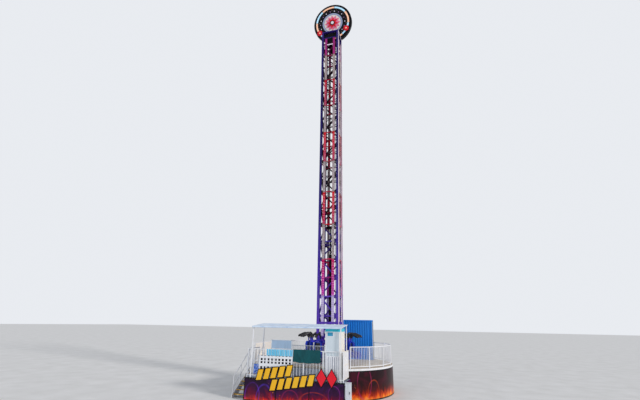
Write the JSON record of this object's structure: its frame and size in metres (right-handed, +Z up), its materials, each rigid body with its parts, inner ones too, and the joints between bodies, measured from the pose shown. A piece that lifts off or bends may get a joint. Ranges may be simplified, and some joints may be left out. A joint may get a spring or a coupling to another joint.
{
  "type": "drop tower ride",
  "caption": "Drop tower ride with a lattice tower, round tilted sign, ring of seats with shoulder restraints, raised round deck, front podium with booth and canopy, and a side stair.",
  "frame": {"origin": "on the ground under the tower's axis", "axes": "+Z up, the front with the podium faces -Y, +X to the right seen from the front"},
  "size_m": [9.2, 9.9598, 35.0013],
  "materials": {
    "galvanised_steel": "hot dip galvanised",
    "purple_paint": "satin",
    "zoned_paint": "satin, coloured in zones",
    "strip_lights": "diffuser strips in coloured zones",
    "dark_steel": "satin",
    "wire_rope": "greased",
    "black_paint": "semi gloss",
    "sign_face": "printed panels",
    "deck_boards": "matt anti-slip",
    "white_paint": "gloss",
    "printed_skirt": "printed sheet",
    "podium_plate": "tread plate",
    "tread_grating": "pressed grating",
    "booth_panel": "satin",
    "tinted_glass": "tinted",
    "canopy_fabric": "coated awning cloth",
    "board_grey": "satin",
    "banner_fabric": "coated banner cloth",
    "box_grey": "satin",
    "blue_sheet": "satin ribbed sheet",
    "violet_paint": "satin",
    "roller_rubber": "matt",
    "seat_blue": "glass fibre gel coat",
    "seat_pad": "black vinyl",
    "restraint_foam": "moulded black foam skin"
  },
  "bodies": {
    "tower": {"base_frame": "galvanised_steel", "tower_chords": "purple_paint", "lattice_front": "zoned_paint", "lattice_right": "zoned_paint", "lattice_back": "zoned_paint", "lattice_left": "zoned_paint", "light_strips": "strip_lights", "lift_cylinder": "dark_steel", "hoist_ropes": "wire_rope", "head_sheaves": "dark_steel", "head_frame": "purple_paint", "head_housing": "black_paint", "sign_frame": "purple_paint", "sign_drum": "sign_face", "sign_ring": "black_paint", "deck_frame": "galvanised_steel", "deck_plates": "deck_boards", "deck_lip": "white_paint", "deck_skirt": "printed_skirt", "podium_frame": "galvanised_steel", "podium_floor": "podium_plate", "podium_skirt": "printed_skirt", "stair_stringers": "white_paint", "stair_treads": "tread_grating", "stair_handrails": "white_paint", "fence_right": "white_paint", "fence_back": "white_paint", "fence_left": "white_paint", "fence_front": "white_paint", "podium_fence": "white_paint", "booth_body": "booth_panel", "booth_window": "tinted_glass", "canopy_frame": "white_paint", "canopy_cloth": "canopy_fabric", "notice_board": "board_grey", "banner": "banner_fabric", "electrical_box": "box_grey", "power_cabinet": "blue_sheet"},
    "gondola": {"gondola_ring": "violet_paint", "guide_rollers": "roller_rubber", "seat_shells": "seat_blue", "seat_pads": "seat_pad"},
    "restraint_01": {"restraint_01": "restraint_foam"},
    "restraint_02": {"restraint_02": "restraint_foam"},
    "restraint_03": {"restraint_03": "restraint_foam"},
    "restraint_04": {"restraint_04": "restraint_foam"},
    "restraint_05": {"restraint_05": "restraint_foam"},
    "restraint_06": {"restraint_06": "restraint_foam"},
    "restraint_07": {"restraint_07": "restraint_foam"},
    "restraint_08": {"restraint_08": "restraint_foam"},
    "restraint_09": {"restraint_09": "restraint_foam"},
    "restraint_10": {"restraint_10": "restraint_foam"},
    "restraint_11": {"restraint_11": "restraint_foam"},
    "restraint_12": {"restraint_12": "restraint_foam"}
  },
  "joints": [
    {"name": "gondola_lift", "type": "slide", "parent": "tower", "child": "gondola", "axis": [0, 0, 1], "range_m": [0, 24]},
    {"name": "restraint_01_swing", "type": "hinge", "parent": "gondola", "child": "restraint_01", "pos_m": [1.49719, 0.40117, 3.32], "axis": [-0.2588, 0.9659, 0], "range_deg": [0, 65]},
    {"name": "restraint_02_swing", "type": "hinge", "parent": "gondola", "child": "restraint_02", "pos_m": [1.09602, 1.09602, 3.32], "axis": [-0.7071, 0.7071, 0], "range_deg": [0, 65]},
    {"name": "restraint_03_swing", "type": "hinge", "parent": "gondola", "child": "restraint_03", "pos_m": [0.40117, 1.49719, 3.32], "axis": [-0.9659, 0.2588, 0], "range_deg": [0, 65]},
    {"name": "restraint_04_swing", "type": "hinge", "parent": "gondola", "child": "restraint_04", "pos_m": [-0.40117, 1.49719, 3.32], "axis": [-0.9659, -0.2588, 0], "range_deg": [0, 65]},
    {"name": "restraint_05_swing", "type": "hinge", "parent": "gondola", "child": "restraint_05", "pos_m": [-1.09602, 1.09602, 3.32], "axis": [-0.7071, -0.7071, 0], "range_deg": [0, 65]},
    {"name": "restraint_06_swing", "type": "hinge", "parent": "gondola", "child": "restraint_06", "pos_m": [-1.49719, 0.40117, 3.32], "axis": [-0.2588, -0.9659, 0], "range_deg": [0, 65]},
    {"name": "restraint_07_swing", "type": "hinge", "parent": "gondola", "child": "restraint_07", "pos_m": [-1.49719, -0.40117, 3.32], "axis": [0.2588, -0.9659, 0], "range_deg": [0, 65]},
    {"name": "restraint_08_swing", "type": "hinge", "parent": "gondola", "child": "restraint_08", "pos_m": [-1.09602, -1.09602, 3.32], "axis": [0.7071, -0.7071, 0], "range_deg": [0, 65]},
    {"name": "restraint_09_swing", "type": "hinge", "parent": "gondola", "child": "restraint_09", "pos_m": [-0.40117, -1.49719, 3.32], "axis": [0.9659, -0.2588, 0], "range_deg": [0, 65]},
    {"name": "restraint_10_swing", "type": "hinge", "parent": "gondola", "child": "restraint_10", "pos_m": [0.40117, -1.49719, 3.32], "axis": [0.9659, 0.2588, 0], "range_deg": [0, 65]},
    {"name": "restraint_11_swing", "type": "hinge", "parent": "gondola", "child": "restraint_11", "pos_m": [1.09602, -1.09602, 3.32], "axis": [0.7071, 0.7071, 0], "range_deg": [0, 65]},
    {"name": "restraint_12_swing", "type": "hinge", "parent": "gondola", "child": "restraint_12", "pos_m": [1.49719, -0.40117, 3.32], "axis": [0.2588, 0.9659, 0], "range_deg": [0, 65]}
  ]
}
